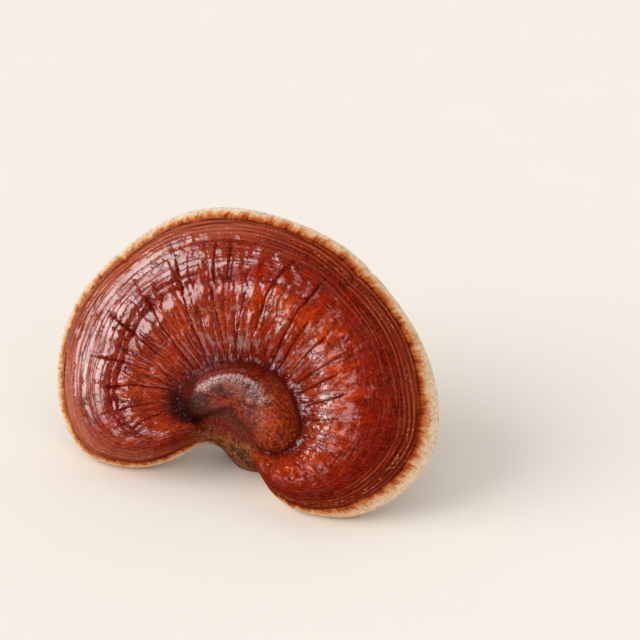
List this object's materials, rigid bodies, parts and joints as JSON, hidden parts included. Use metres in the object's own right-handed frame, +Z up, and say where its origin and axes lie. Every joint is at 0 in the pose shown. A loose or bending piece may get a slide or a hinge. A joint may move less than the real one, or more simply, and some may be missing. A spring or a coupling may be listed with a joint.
{
  "type": "reishi mushroom",
  "caption": "Dried reishi fruiting body: a kidney-shaped, lacquered, furrowed cap on a short side stem cut flat, standing on its two lobes and the cut.",
  "frame": {"origin": "middle of the footprint of the whole body, on the ground it stands on", "axes": "+X along the cap's long width, to the right seen from the front; -Y the side the lacquered cap faces, leaning back 38 degrees; +Z up"},
  "size_m": [0.1532, 0.0737, 0.0847],
  "materials": {
    "mushroom": "gloss"
  },
  "bodies": {
    "root": {"mushroom": "mushroom"}
  },
  "joints": []
}
